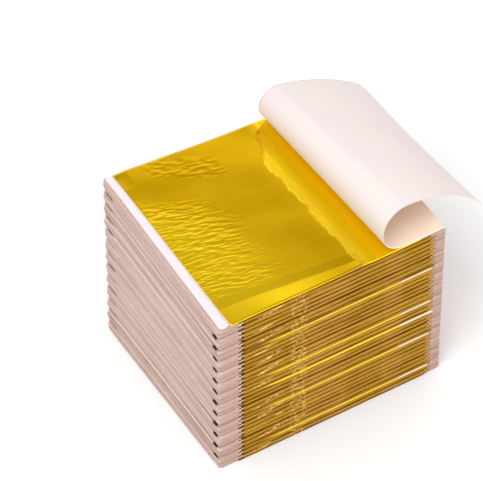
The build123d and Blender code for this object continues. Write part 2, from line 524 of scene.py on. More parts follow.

# Small forms of the tissues' edges. Three lengths in a row are a start, an end and a fade, and
# a pair is where a form begins and where it is full.
# NOTCH_HALF is the width of the painted shade in each pocket.
POCKET_HALF, NOTCH_HALF = 0.9 * MM, 1.0 * MM
SLIT, SLIT_DEPTH = (2.2 * MM, 4.5 * MM, 1.6 * MM), 0.4 * MM
MARGIN = (LEAF_LEFT + MM, LEAF_RIGHT - MM, 0.5 * MM)
STAND_OUT, STAND_IN, FIRST_STAND_IN, STAND_FADE = 0.12 * MM, 0.14 * MM, 0.35 * MM, 2.0 * MM
# The painted shadow wedge along the outer sheets begins this far from the front and is full this near
# it.
SHADOW_WEDGE_START, SHADOW_WEDGE_END = 34.0 * MM, 2.0 * MM
OPEN_RIM = (LEFT + 1.1 * MM, LEFT + 0.6 * MM)
BELOW_GAP = (LEFT + 5.0 * MM, LEFT + 2.6 * MM)
TIP, TIP_DEPTH = (LEAF_LEFT, LEAF_LEFT + 2.0 * MM, 0.5 * MM), (0.4 * MM, 0.15 * MM)
WAVES_A_SHEET, WAVES_A_METRE = 0.9, 60.0
PAPER_SEED = 31.0


def tissue_tree():
    """Stacks folded tissues, rounds and crowns their open sides and opens the corner pockets."""
    choice = settings().tissue
    sizes = ("Crown", "Corner radius", "Corner fullness", "Pocket depth", "Unevenness")
    tree, plan, wires = new_tree("tissue stack", {**STACK_INPUTS, **dict.fromkeys(sizes, float)})
    shape = stacked_sheets(plan, wires)
    (x, y, z), sheet, place, third = point_of_sheet(plan)
    share = (place * (2.0 / (FOLDS - 1)) - 1.0) ** 2.0
    outermost = share ** 5.0
    is_first = plan.before(place, 1)
    front_gap, back_gap = y - FRONT, BACK - y
    nearest = front_gap.math("MINIMUM", front_gap, back_gap)
    pocket_gap = front_gap - choice.pocket_place

    # How far an edge lies back from the open side.
    radius = wires["Corner radius"] + wires["Corner fullness"] * share * plan.ease(y, BACK, FRONT)
    past = clamp((radius - nearest) / radius)
    corner = radius * (1.0 - clamp(1.0 - past * past) ** 0.5)
    pocket = falling(pocket_gap * (1 / POCKET_HALF)) * outermost
    slit = plan.band(back_gap, *SLIT) * outermost
    step = (plan.chance(sheet, wires["Seed"]) - 0.5) * wires["Unevenness"]
    wave = plan.noise(plan.vector(sheet * WAVES_A_SHEET, y * WAVES_A_METRE, 0.0)) - 0.5
    inset = wires["Crown"] * share * 0.5 + corner + pocket * wires["Pocket depth"]
    inset = inset + step + wave * wires["Unevenness"] + slit * SLIT_DEPTH
    reach = clamp((FOLD_LINE - x) / (FOLD_LINE - LEFT)) ** 1.5

    # How far an edge stands out at the front and the back, where no leaf lies in the fold.
    paper_margin = 1.0 - plan.band(x, *MARGIN)
    standing = (1.0 - third * 0.5) * paper_margin * STAND_OUT - STAND_IN
    standing = standing - is_first * paper_margin * FIRST_STAND_IN
    side = y.math("SIGN", y - MIDDLE)
    outward = side * standing * plan.ease(nearest, STAND_FADE, 0.0)
    height = settle(x, y, z, (sheet - place) * wires["Pitch"])
    shape = move_points(plan, shape, x + inset * reach, y + outward, height)

    # What the finish reads: the sheet's tone, partly random and partly painted shade that lightens
    # the upper sheets of each booklet and darkens its lowest, with steps over each cycle of three
    # sheets; the painted shade in the hollows; and the cream tips.
    tone = plan.chance(sheet, wires["Seed"] + PAPER_SEED) * 0.4 + (third * 0.5) * 0.35
    tone = tone + plan.ease(place, 3.0, 6.5) * 0.3 - plan.ease(place, 1.5, 0.0) * 0.2
    shape = keep_value(plan, shape, "tone", tone)
    # Painted shade on the open side: near-black in the pockets by the front corner and in the back
    # slits, and a fainter wedge along each booklet's outer sheets that fades away from the front. The
    # pocket's shade also reaches a little way in on the sheet under each booklet's top sheet.
    beside_gap = (plan.reaches(place, FOLDS - 2) + is_first) * plan.before(sheet, TOP_INDEX - 1)
    notch = falling(pocket_gap * (1 / NOTCH_HALF)) * beside_gap
    shadow_wedge = plan.ease(front_gap, SHADOW_WEDGE_START, SHADOW_WEDGE_END) * outermost * 0.35
    below_gap = plan.reaches(place, FOLDS - 2) * plan.before(place, FOLDS - 1)
    below_gap = below_gap * plan.ease(x, *BELOW_GAP)
    shade_in_hollows = (notch * 1.5 + slit + shadow_wedge) * plan.ease(x, *OPEN_RIM) + notch * 1.5 * below_gap
    shape = keep_value(plan, shape, "hollow", clamp(shade_in_hollows))
    tip = plan.band(x, *TIP) * plan.ease(nearest, *TIP_DEPTH)
    shape = keep_value(plan, shape, "cream", tip * (1.0 - third * 0.3))
    close_tree(plan, shape, wires["Material"])
    return tree


# Bright places on the lips: painted glints, where the lips also flare out a little. Three lengths in
# a row are a start, an end and a fade along X.
FIRST_DASH, DASH_STEP, DASH_RUN = -37.0 * MM, 2.3 * MM, (0.0, 4.6 * MM, 0.8 * MM)
SHORT_DASH = (-17.0 * MM, -11.0 * MM, 0.7 * MM)
LONG_LINE = (-20.0 * MM, 41.0 * MM, 12.0 * MM)
LINE_DROP, LINE_LIFT, LINE_FLARE, DASH_FLARE = 0.22 * MM, 0.14 * MM, 0.40 * MM, 0.05 * MM
# LEAF_END_SHADE is where the painted shade at a leaf's left end begins and where it is full.
LEAF_END_SHADE = (LEAF_LEFT + 1.6 * MM, LEAF_LEFT + 0.4 * MM)
DASH_SEED, LEAF_SEED = 5.0, 11.0


def leaf_tree():
    """Stacks metal leaves whose front and back edges hang over the tissues as thin lips."""
    sizes = ("Stagger", "Lip drop", "Lip flare", "Big lip")
    tree, plan, wires = new_tree("leaf stack", {**STACK_INPUTS, **dict.fromkeys(sizes, float)})
    shape = stacked_sheets(plan, wires)
    (x, y, z), sheet, place, third = point_of_sheet(plan)
    lip = plan.node("GeometryNodeInputNamedAttribute", {"data_type": "FLOAT"}, {"Name": "lip"})
    lengthwise = plan.noise(plan.vector(x * 90.0, sheet * 3.7, wires["Seed"] * 1.3))
    fine = plan.noise(plan.vector(x * 420.0, sheet * 5.1, 4.0))
    finest = plan.noise(plan.vector(x * 900.0, sheet * 7.3, 9.0))

    # Short dashes near the open side, and one long bright line under some booklets' last sheet, each
    # a flared lip with a painted glint.
    picked = plan.ease(plan.chance(sheet, wires["Seed"] + DASH_SEED), 0.35, 0.6)
    inner_sheets = plan.reaches(place, 2) * plan.before(place, FOLDS - 1)
    dash = plan.band(x - (FIRST_DASH + place * DASH_STEP), *DASH_RUN) * inner_sheets * picked
    dash = dash * plan.ease(finest, 0.40, 0.55)
    short_dash = plan.band(x, *SHORT_DASH) * plan.ease(finest, 0.5, 0.6)
    long_line = plan.band(x, *LONG_LINE) * plan.reaches(place, FOLDS - 1) * wires["Big lip"]

    drop = wires["Lip drop"] * (0.82 + 0.36 * lengthwise - 0.5 * plan.before(third, 1))
    drop = drop + LINE_DROP * long_line * long_line - LINE_LIFT * long_line
    flare = wires["Lip flare"] * (0.7 + 0.7 * fine) + DASH_FLARE * dash + LINE_FLARE * long_line
    side = y.math("SIGN", y - MIDDLE)
    shifted = x + (third - 1.0) * wires["Stagger"]
    height = settle(shifted, y, z, (sheet - place) * wires["Pitch"]) - drop * lip
    shape = move_points(plan, shape, shifted, y + side * lip * flare, height)

    # What the finish reads: the leaf's tone, which differs at random and along its length and is a
    # little darker towards each lip's hanging edge, with painted shade on the first leaf of each
    # cycle of three, on the lowest leaf of each booklet and at each leaf's left end under the paper
    # tips; and the painted glints of the dashes and the long bright lines.
    steps = 0.45 * plan.reaches(third, 1) + 0.2 * plan.reaches(third, 2)
    steps = steps - 0.3 * plan.before(place, 1) - 0.7 * plan.ease(x, *LEAF_END_SHADE)
    own = plan.chance(sheet, wires["Seed"] + LEAF_SEED)
    tone = steps + 0.28 * own + 0.45 * lengthwise - 0.2 * lip
    shape = keep_value(plan, shape, "tone", tone)
    # Painted highlights: the spark on the dashes and the glint on the long lines, towards each lip's
    # hanging edge.
    spark = (dash * 0.9 + short_dash * 0.7) * plan.ease(lip, 0.1, 0.5)
    shape = keep_value(plan, shape, "spark", clamp(spark))
    shape = keep_value(plan, shape, "glint", clamp(long_line * 1.4 * plan.ease(lip, 0.1, 0.45)))
    close_tree(plan, shape, wires["Material"])
    return tree


def run_tree(name, base, tree, values):
    """Runs a tree on a base mesh, and keeps what it makes as a plain mesh."""
    carrier = bpy.data.objects.new(name + "_base", base)
    bpy.context.scene.collection.objects.link(carrier)
    modifier = carrier.modifiers.new("repeat", "NODES")
    modifier.node_group = tree
    for item in tree.interface.items_tree:
        if item.in_out == "INPUT" and item.name in values:
            modifier[item.identifier] = values[item.name]
    graph = bpy.context.evaluated_depsgraph_get()
    mesh = bpy.data.meshes.new_from_object(carrier.evaluated_get(graph), depsgraph=graph)
    carrier.modifiers.clear()
    bpy.data.objects.remove(carrier)
    mesh.name = name
    return mesh


def folded_tissue():
    """One tissue folded in two, lying at the bottom of the stack with its fold at the right.

    Its points lie closer together near its edges, where the forms are small. They are given
    in parts of the last one, and are spread over the tissue's own width and depth.
    """
    across = [0, 0.5, 1.2, 2.5, 5, 7.5, 9, 10, 11, 13, 20, 35, 50, 65, 80, 86, 88, 89.5, 91, 94.36]
    near = [0, 0.1, 0.3, 0.7, 1.2, 1.6, 2, 2.3, 2.6, 3, 3.4, 3.7, 4, 4.4, 5, 6, 8, 12, 20, 30]
    far = [40, 50, 60, 68, 71, 73, 75, 76.5, 78, 79, 79.6, 79.9, 80]
    columns = LEFT + np.array(across) / across[-1] * (FOLD_LINE - LEFT)
    rows = FRONT + np.array(near + far) / far[-1] * DEPTH
    turn = np.radians(np.linspace(-90, 90, 7)[1:-1])
    grids = []
    for low, high in ((0.0, FOLD_HEIGHT), (PAPER, FOLD_HEIGHT - PAPER)):
        middle, radius = (low + high) / 2, (high - low) / 2
        x = np.concatenate([columns, FOLD_LINE + radius * np.cos(turn), columns[::-1]])
        z = np.concatenate([columns * 0 + low, middle + radius * np.sin(turn), columns * 0 + high])
        wide, deep = np.meshgrid(x, rows)
        grids.append(np.stack([wide, deep, np.broadcast_to(z, wide.shape)], 2))
    return thin_sheet("folded_tissue", *grids)


LIP_ROOM = 0.6 * MM


def leaf_with_lips():
    """One metal leaf, with rows of points for the lips at its front and its back."""
    lips = np.array([1.0, 0.7, 0.4, 0.15, 0.0])
    front_rows, back_rows = np.full(len(lips), FRONT), np.full(len(lips), BACK)
    rows = np.concatenate([front_rows, [FRONT + LIP_ROOM, BACK - LIP_ROOM], back_rows])
    lip = np.concatenate([lips, [0.0, 0.0], lips[::-1]])
    inward = np.concatenate([lips, [0.0, 0.0], -lips[::-1]])
    columns = np.linspace(LEAF_LEFT, LEAF_RIGHT, 121)
    x, y = np.meshgrid(columns, rows)
    z = np.full_like(x, LEAF_LIFT)
    upper = np.stack([x, y, z], 2)
    lower_y = y + LEAF_THICKNESS * inward[:, None]
    lower = np.stack([x, lower_y, z - LEAF_THICKNESS * (1 - lip[:, None])], 2)
    mark = np.repeat(lip[:, None], len(columns), 1)
    return thin_sheet("leaf_with_lips", upper, lower, {"lip": np.stack([mark, mark])})


def new_material(name):
    """An empty material and the plan of its nodes."""
    material = bpy.data.materials.new(name)
    material.use_nodes = True
    return material, Plan(material.node_tree)


def finish_surface(plan, values):
    """Joins a surface's values to its shader, and the shader to the material."""
    shader = plan.node("ShaderNodeBsdfPrincipled", None, values)
    plan.node("ShaderNodeOutputMaterial", None, {"Surface": shader})


def bump(plan, height, distance, strength):
    """The small relief of a surface, as its shader takes it."""
    values = {"Height": height, "Distance": distance, "Strength": strength}
    return plan.node("ShaderNodeBump", None, values, "Normal")


# The cut edges of the tissues. A size of clouds or fibres is its lengths along X, Y and Z.
TISSUE_STREAKS = (6.0 * MM, 6.0 * MM, 0.25 * MM)
TISSUE_CLOUDS = (16.0 * MM, 16.0 * MM, 9.0 * MM)
TISSUE_FIBRES, TISSUE_RELIEF = (0.5 * MM, 0.5 * MM, 0.12 * MM), 0.05 * MM
SHADED, SHADED_COLOUR = (LEFT + MM, LEFT + 3.0 * MM), (0.56, 0.34, 0.25)
TIP_COLOUR = (0.95, 0.76, 0.52)
HOLLOW_SHADE_COLOUR = (0.03, 0.008, 0.008)


def tissue_finish():
    """Thin pink tissue seen on its cut edges: paler and darker sheets, partly painted shade, with
    fine streaks, a painted shade colour on the faces away from the open side, painted shade in the
    hollows, and cream tips.
    """
    choice = settings().tissue
    material, plan = new_material("pink_tissue")
    streaks = plan.clouds(TISSUE_STREAKS, 3.0)
    clouds = plan.clouds(TISSUE_CLOUDS, 2.0)
    share = plan.attribute("tone") * 0.9 + streaks * 0.4 + clouds * 0.3 - 0.25
    colour = plan.blend(share, tuple(choice.dark_colour), tuple(choice.light_colour))
    x, _, _ = plan.place()
    # Painted shade: the front and back faces, away from the open side, go part way to a darker
    # colour.
    colour = plan.blend(plan.ease(x, *SHADED, 0.0, 0.4), colour, SHADED_COLOUR)
    colour = plan.blend(plan.attribute("cream"), colour, TIP_COLOUR)
    # Painted shade in the pockets, the slits and the wedge along the outer sheets.
    colour = plan.blend(plan.attribute("hollow"), colour, HOLLOW_SHADE_COLOUR)
    relief = bump(plan, plan.clouds(TISSUE_FIBRES, 3.0), TISSUE_RELIEF, 0.6)
    finish_surface(plan, {"Base Color": colour, "Roughness": 0.85, "Normal": relief})
    return material


BARE_CLOUDS = (7.0 * MM, 7.0 * MM, 7.0 * MM)
BARE_FIBRES, BARE_RELIEF = (0.4 * MM, 0.4 * MM, 0.4 * MM), 0.03 * MM


def bare_tissue_finish():
    """The open tissue on top: smooth white with a breath of lavender."""
    material, plan = new_material("bare_tissue")
    light = tuple(settings().tissue.bare_colour)
    dim = tuple(part * 0.94 for part in light)
    colour = plan.blend(plan.clouds(BARE_CLOUDS, 3.0), dim, light)
    relief = bump(plan, plan.clouds(BARE_FIBRES, 3.0), BARE_RELIEF, 0.5)
    finish_surface(plan, {"Base Color": colour, "Roughness": 0.8, "Normal": relief})
    return material


# The leaves' edges. The peach stretches are given by a start, an end and a fade along X.
EDGE_STRIPES = (14.0 * MM, 14.0 * MM, 0.3 * MM)
PEACH_STRETCHES = ((-9.0 * MM, 5.0 * MM, 3.0 * MM), (23.0 * MM, 29.0 * MM, 2.0 * MM))
PEACH_COLOUR = (0.68, 0.33, 0.08)
# The colours of the painted highlights: the spark, and the long lines' glint, which turns cream past
# CREAM_END.
SPARK_COLOUR = (1.0, 0.66, 0.24)
CREAM_END, CREAM_GLINT = (28.5 * MM, 30.0 * MM), (0.90, 0.78, 0.55)


def edge_gold_finish():
    """Leaf edges pressed in layers: brown and golden stripes, partly painted shade, with bright
    painted glints.
    """
    choice = settings().leaf
    material, plan = new_material("leaf_edges")
    stripes = plan.clouds(EDGE_STRIPES, 3.0)
    share = plan.attribute("tone") * 0.9 + (stripes - 0.5) * 1.3
    share = plan.ease(share, 0.14, 0.88)
    colour = plan.blend(share, tuple(choice.edge_dark), tuple(choice.edge_light))
    x, _, _ = plan.place()
    left_peach, right_peach = (plan.band(x, *stretch) for stretch in PEACH_STRETCHES)
    colour = plan.blend((left_peach + right_peach) * 0.35 * share, colour, PEACH_COLOUR)
    # The painted glint is yellow, and cream past CREAM_END.
    glint = plan.blend(plan.ease(x, *CREAM_END), tuple(choice.glint_colour), CREAM_GLINT)
    colour = plan.blend(plan.attribute("spark"), colour, SPARK_COLOUR)
    colour = plan.blend(plan.attribute("glint"), colour, glint)
    roughness = 0.34 + stripes * 0.2
    finish_surface(plan, {"Base Color": colour, "Metallic": 1.0, "Roughness": roughness})
    return material


# The bare leaf. A pair of lengths is where a form or a colour begins and where it is full, and
# the two slanted lines across the leaf are told by how much their place changes with X.
SLANT, STEEP_SLANT, CLOUD_SLANT = 0.20, 0.42, 0.4
TOP_CLOUDS = (22.0 * MM, 14.0 * MM, 20.0 * MM)
TOP_GRAIN, TOP_RELIEF = (1.2 * MM, 0.5 * MM, 1.0 * MM), 0.02 * MM
# Where the painted highlight towards the front left corner of the leaf begins and is full.
HIGHLIGHT_LEFT, HIGHLIGHT_FRONT = (-2.0 * MM, -40.0 * MM), (9.0 * MM, -3.0 * MM)
# The two yellows of the painted reflection of the rolled page, in the band beside it.
NEAR_REFLECTION_COLOUR, FAR_REFLECTION_COLOUR = (1.0, 0.66, 0.02), (1.0, 0.75, 0.006)


def bare_gold_finish():
    """Bright crinkled leaf: a deep gold mirror with a fine grain and faint clouds, a painted
    highlight towards its front left corner, and a painted reflection of the rolled page in a band
    beside it.
    """
    choice = settings().leaf
    material, plan = new_material("bright_leaf")
    clouds = plan.clouds(TOP_CLOUDS, 2.0)
    light = tuple(choice.top_colour)
    deep = (light[0] * 0.75, light[1] * 0.66, light[2] * 0.2)
    x, y, _ = plan.place()
    # Painted highlight: the leaf is lighter towards its front left corner.
    painted_highlight = plan.ease(x + y * CLOUD_SLANT, *HIGHLIGHT_LEFT)
    painted_highlight = painted_highlight * plan.ease(y + x * STEEP_SLANT, *HIGHLIGHT_FRONT)
    colour = plan.blend(painted_highlight * 0.95 + clouds * 0.5 - 0.24, deep, light)
    # Painted reflection of the rolled page: past the ridge the leaf turns a lighter yellow.
    band = plan.attribute("band")
    colour = plan.blend(plan.ease(band, 0.0, 0.5), colour, NEAR_REFLECTION_COLOUR)
    colour = plan.blend(plan.ease(band, 0.5, 1.0), colour, FAR_REFLECTION_COLOUR)
    values = {"Base Color": colour, "Metallic": 1.0, "Roughness": 0.08 + clouds * 0.06}
    values["Normal"] = bump(plan, plan.clouds(TOP_GRAIN, 3.0), TOP_RELIEF, 0.5)
    finish_surface(plan, values)
    return material


PAGE_CLOUDS = (26.0 * MM, 40.0 * MM, 26.0 * MM)
PAGE_FIBRES, PAGE_RELIEF = (0.6 * MM, 0.6 * MM, 0.6 * MM), 0.03 * MM
# The colour of the painted shade, warmed by the gold's light, where the page meets the leaf.
CONTACT_SHADE_COLOUR = (0.74, 0.61, 0.44)
DEEP_INSIDE_COLOUR = (0.86, 0.70, 0.60)


def page_finish():
    """The rolled page: white outside with cream and rose tints, painted shade on its limb near the
    leaf, painted shade warmed by the gold's light where it meets the leaf, and peach inside.
    """
    choice = settings().page
    material, plan = new_material("page_paper")
    red, green, blue = choice.outer_colour
    cream = (red, green * 0.985, blue * 0.94)
    rose = (red * 0.985, green * 0.955, blue * 0.985)
    outside = plan.blend(plan.ease(plan.clouds(PAGE_CLOUDS, 2.0), 0.35, 0.65), cream, rose)
    # Painted shade on the page's limb near the leaf.
    outside = plan.blend(plan.attribute("limb"), outside, tuple(part * 0.80 for part in cream))
    # Painted shade warmed by the gold's light, where the page meets the leaf.
    outside = plan.blend(plan.attribute("contact"), outside, CONTACT_SHADE_COLOUR)
    inside = tuple(choice.inner_colour)
    inside = plan.blend(plan.attribute("course"), inside, DEEP_INSIDE_COLOUR)
    colour = plan.blend(plan.attribute("inner"), outside, inside)
    relief = bump(plan, plan.clouds(PAGE_FIBRES, 3.0), PAGE_RELIEF, 0.4)
    finish_surface(plan, {"Base Color": colour, "Roughness": 0.75, "Normal": relief})
    return material


FLOOR_HALF, FLOOR_DROP = 3.0, 0.05 * MM
FLOOR_CLOUDS = (0.3, 0.3, 0.3)
FLOOR_DIM, FLOOR_LIGHT = (0.93, 0.93, 0.925), (0.95, 0.95, 0.95)


def floor_finish():
    """A pale matt floor with hardly any clouds."""
    material, plan = new_material("pale_floor")
    colour = plan.blend(plan.clouds(FLOOR_CLOUDS, 2.0), FLOOR_DIM, FLOOR_LIGHT)
    finish_surface(plan, {"Base Color": colour, "Roughness": 0.7})
    return material


def roll_course(distance, behind):
    """Run, rise and heading of the page after a distance along it.

    behind is 0 at the front of the page and 1 at its back, where it rolls further round.
    """
    page = settings().page
    turn = page.roll_turn + (page.roll_turn_back - page.roll_turn) * behind
    curve = (1 - behind) / page.spread_radius + behind / page.spread_radius_back
    bend = np.minimum(distance / page.roll_radius, turn)
    run, rise = page.roll_radius * np.sin(bend), page.roll_radius * (1 - np.cos(bend))
    left = np.maximum(distance - page.roll_radius * bend, 0)
    heading = bend + left * curve
    run += (np.sin(heading) - np.sin(bend)) / curve
    rise -= (np.cos(heading) - np.cos(bend)) / curve
    return run, rise, heading


def page_points(reach_x, y, lift):
    """Points of the page: reach_x from its fold line, y along it, lift off its middle."""
    page = settings().page
    reach = reach_x * math.cos(page.skew) + y * math.sin(page.skew)
    place = y * math.cos(page.skew) - reach_x * math.sin(page.skew)
    size = 1 - page.taper_share * place / BACK
    behind = np.clip((place - FRONT) / DEPTH, 0, 1)
    run, rise, heading = roll_course(np.maximum(reach - page.flat_run, 0) / size, behind)
    gone = np.minimum(reach, page.flat_run) + run * size - lift * np.sin(heading)
    x = FOLD_LINE - gone * math.cos(page.skew) + place * math.sin(page.skew)
    new_y = gone * math.sin(page.skew) + place * math.cos(page.skew)
    raised = HINGE[2] + ROOT_RADIUS + rise * size + lift * np.cos(heading)

    # Before the fold line, the page is the bend of its own fold.
    angle = math.pi / 2 + np.minimum(reach_x, 0) / ROOT_RADIUS
    turned = ROOT_RADIUS + lift
    at_fold = reach_x < 0
    x = np.where(at_fold, FOLD_LINE + turned * np.cos(angle), x)
    new_y = np.where(at_fold, y, new_y)
    raised = np.where(at_fold, HINGE[2] + turned * np.sin(angle), raised)
    return np.stack([x, new_y, raised], 2)


# The studio. Each sky stop is a share of the way up, and the sky's grey there.
SKY_STOPS = [(0.0, 1.0), (0.50, 1.0), (0.62, 0.95), (0.70, 0.68), (0.78, 0.50), (1.0, 0.44)]
KEY_PLACE, KEY_AIM, KEY_SIZE = (-0.45, -0.30, 1.0), (0, 0, 0.04), 0.7
CAMERA_PLACE = (-0.52341, -0.83536, 1.10910)
SENSOR_WIDTH, CLIP_START = 36.0, 0.05


class LEAFBOOK_OT_stage(bpy.types.Operator):
    """Lay the floor, light the studio and set up the camera"""

    bl_idname = "leafbook.stage"
    bl_label = "Stage"

    def execute(self, context):
        choice = settings().stage
        corners = [(-1, -1), (1, -1), (1, 1), (-1, 1)]
        points = [(x * FLOOR_HALF, y * FLOOR_HALF, -FLOOR_DROP) for x, y in corners]
        mesh = bpy.data.meshes.new("floor")
        mesh.from_pydata(points, [], [(0, 1, 2, 3)])
        show("floor", mesh, floor_finish(), smooth=False)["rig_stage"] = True

        world = bpy.data.worlds.new("soft_studio")
        world.use_nodes = True
        context.scene.world = world
        plan = Plan(world.node_tree)
        _, _, up = plan.parts(plan.node("ShaderNodeTexCoord", output="Generated"))
        stops = [(place, (grey, grey, grey * 1.01)) for place, grey in SKY_STOPS]
        shade = plan.node("ShaderNodeValToRGB", {"stops": stops}, {"Fac": up})
        values = {"Color": shade, "Strength": choice.sky_strength}
        sky = plan.node("ShaderNodeBackground", None, values)
        plan.node("ShaderNodeOutputWorld", None, {"Surface": sky})

        lamp = bpy.data.lights.new("key", "AREA")
        lamp.shape, lamp.size, lamp.energy = "DISK", KEY_SIZE, choice.key_power
        key = bpy.data.objects.new("key", lamp)
        key.location = KEY_PLACE
        key.rotation_euler = (Vector(KEY_AIM) - key.location).to_track_quat("-Z", "Y").to_euler()
        key.visible_camera = False
        context.scene.collection.objects.link(key)

        lens = bpy.data.cameras.new("camera")
        lens.lens, lens.sensor_width = choice.focal_length, SENSOR_WIDTH
        lens.clip_start = CLIP_START
        camera = bpy.data.objects.new("camera", lens)
        turn, rise = choice.camera_azimuth, choice.camera_elevation
        back_x, back_y = math.sin(turn) * math.cos(rise), -math.cos(turn) * math.cos(rise)
        back = Vector((back_x, back_y, math.sin(rise)))
        camera.location = CAMERA_PLACE
        camera.rotation_mode = "QUATERNION"
        camera.rotation_quaternion = (-back).to_track_quat("-Z", "Y")
        context.scene.collection.objects.link(camera)
        context.scene.camera = camera
        context.scene.view_settings.view_transform = "Standard"
        return {"FINISHED"}


# Booklets, counted from the bottom, whose last leaf shows as a long bright line, and its size.
BIG_LIPS = {10: 0.8, 7: 0.8, 6: 1.3, 4: 0.8, 1: 0.8}


def stack_values(number, count, finish):
    """The inputs that both stacking trees take for one booklet out of count."""
    sheets = FOLDS - 1 if number == count - 1 else FOLDS
    values = {"Count": sheets, "First": number * FOLDS, "Pitch": PITCH}
    return {**values, "Seed": settings().seed, "Material": finish}


class LEAFBOOK_OT_tissues(bpy.types.Operator):
    """Stack the folded tissues of all the booklets"""

    bl_idname = "leafbook.tissues"
    bl_label = "Folded tissues"

    def execute(self, context):
        choice = settings().tissue
        tree, base, finish = tissue_tree(), folded_tissue(), tissue_finish()
        forms = {
            "Crown": CROWN, "Corner radius": choice.corner_radius,
            "Corner fullness": choice.corner_fullness, "Pocket depth": choice.pocket_depth,
            "Unevenness": choice.unevenness,
        }
        for number, node in enumerate(TISSUE_NODES):
            name = node.replace("_tissue_folds", "_tissues")
            values = {**stack_values(number, len(TISSUE_NODES), finish), **forms}
            piece = show(name, run_tree(name, base, tree, values), smooth=False)
            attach(piece, frame["nodes"][node]["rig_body"])
            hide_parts(node)
        return {"FINISHED"}


class LEAFBOOK_OT_leaves(bpy.types.Operator):
    """Lay a metal leaf in each folded tissue of all the booklets"""

    bl_idname = "leafbook.leaves"
    bl_label = "Metal leaves"

    def execute(self, context):
        choice = settings().leaf
        tree, base, finish = leaf_tree(), leaf_with_lips(), edge_gold_finish()
        forms = {
            "Stagger": STAGGER, "Lip drop": choice.lip_drop, "Lip flare": choice.lip_flare,
        }
        for number, node in enumerate(LEAF_NODES):
            name = node.replace("_metal_leaves", "_leaves")
            values = {**stack_values(number, len(LEAF_NODES), finish), **forms}
            values["Big lip"] = BIG_LIPS.get(number + 1, 0.0)
            piece = show(name, run_tree(name, base, tree, values))
            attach(piece, frame["nodes"][node]["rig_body"])
            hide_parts(node)
        return {"FINISHED"}


# Under the bare leaf, the open flap's front and back edges lie a little further in than the leaf's.
FLAP_DRAWN_IN = 0.7 * MM
UNDER_LEAF = (BARE_LOW.x - MM, BARE_LOW.x + 2 * MM)
FLAP_POINTS = 60


class LEAFBOOK_OT_open_flap(bpy.types.Operator):
    """Make the lower flap of the open tissue, which the bare leaf lies on"""

    bl_idname = "leafbook.open_flap"
    bl_label = "Open tissue flap"

    def execute(self, context):
        rows = crowded(FRONT, BACK, FLAP_POINTS)[:, None]
        share = crowded(0.0, 1.0, FLAP_POINTS)[None, :]
        radius = 2 * settings().tissue.corner_radius
        past = clamp((radius - np.minimum(rows - FRONT, BACK - rows)) / radius)
        left = FLAP_LOW.x + radius * (1 - np.sqrt(1 - past * past))
        x = left + (FLAP_HIGH.x - left) * share
        drawn_in = smooth_step(x, *UNDER_LEAF) * FLAP_DRAWN_IN
        y = rows + drawn_in * np.sign(MIDDLE - rows) * (np.abs(rows) / BACK) ** 40
        heights = [settle(x, y, z + 0 * x, OPEN_BASE) for z in (FLAP_TOP, FLAP_LOW.z)]
        mesh = thin_sheet("open_lower_flap", *(np.stack([x, y, z], 2) for z in heights))
        piece = show("open_lower_flap", mesh, bare_tissue_finish(), smooth=False)
        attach(piece, "open_booklet")
        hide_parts("open_fold_lower_flap")
        return {"FINISHED"}


# The grid of the bare leaf: stretches that each have an end and a step, then a count of places.
COLUMN_STEPS = ((-6 * MM, 0.4 * MM), (9 * MM, MM), (16 * MM, 0.35 * MM))
ROW_STEPS = ((18 * MM, 0.22 * MM), (22 * MM, 0.5 * MM))
LAST_COLUMNS, LAST_ROWS = 12, 56

# Under the page the leaf lies flat, and left of there it is loose. A pair of lengths here is
# where a form begins and where it is full, unless it is a size along X and along Y.
LOOSE_END, LOOSE_LIFT, LOWEST_GAP = (12.0 * MM, 18.0 * MM), 0.18 * MM, 0.01 * MM

# Three sizes of ripple: share, length along X, width across, start and seed.
RIPPLES = (
    (0.7, 3.8 * MM, 0.90 * MM, 0, 11),
    (0.6, 2.4 * MM, 0.55 * MM, 9, 12),
    (0.3, 1.6 * MM, 0.40 * MM, 3, 13),
)
RIPPLE_BEND, RIPPLE_BEND_SIZE, RIPPLE_BEND_SEED = 0.8, 7 * MM, 3
RIPPLED_LEFT, RIPPLED_FRONT, RIPPLED_GAP = (-8 * MM, -28 * MM), (9 * MM, 0 * MM), (1 * MM, 9 * MM)
PATCH_SIZE, PATCH_SEED = (14 * MM, 9 * MM), 21

# A slow swing over the whole leaf, and a slanted strip that is crumpled.
SWING_SIZE, SWING_HEIGHT, SWING_SEED = (17 * MM, 11 * MM), 0.144 * MM, 31
STRIP_FRONT, STRIP_BACK = (18 * MM, 21 * MM), (31 * MM, 26 * MM)
STRIP_LEFT, STRIP_RIGHT = (-34 * MM, -26 * MM), (-2 * MM, -10 * MM)
CRUMPLE_SIZE, CRUMPLE_HEIGHT, CRUMPLE_SEED = (2.6 * MM, 0.9 * MM), 0.10 * MM, 41

# The front edge, which turns up and is wider at the left, and the gentle fall behind it.
EDGE_WIDTH, EDGE_GROWTH, EDGE_RUN = 1.6 * MM, 6.0 * MM, (40 * MM, -46 * MM)
EDGE_SLOPE, RISE_SLOPE, FALL_SLOPE = 0.07, 0.05, 0.005
RISE_END, FALL_RUN = 3.5 * MM, 30 * MM

# The ridge beside the page: where its line is, how it wanders (length, depth, row and seed of
# each wander), how it leans and bends away at the back, and how it rises and falls.
RIDGE_PLACE, RIDGE_LEAN = 9.6 * MM, 0.05
RIDGE_WANDER = ((5 * MM, 0.6 * MM, 2, 61), (1.4 * MM, 0.35 * MM, 0, 62))
RIDGE_BEND, RIDGE_BEND_DEPTH = (18 * MM, 39 * MM), 8 * MM
RIDGE_RISE, RIDGE_HEIGHT, RIDGE_LIFT = (-12 * MM, 0), 0.16 * MM, 0.04 * MM
RIDGE_END = (20 * MM, 26 * MM)
STEEP_RUN, STEEP_FALL, FAR_RUN, FAR_FALL = 0.9 * MM, 0.13, 4 * MM, 0.004
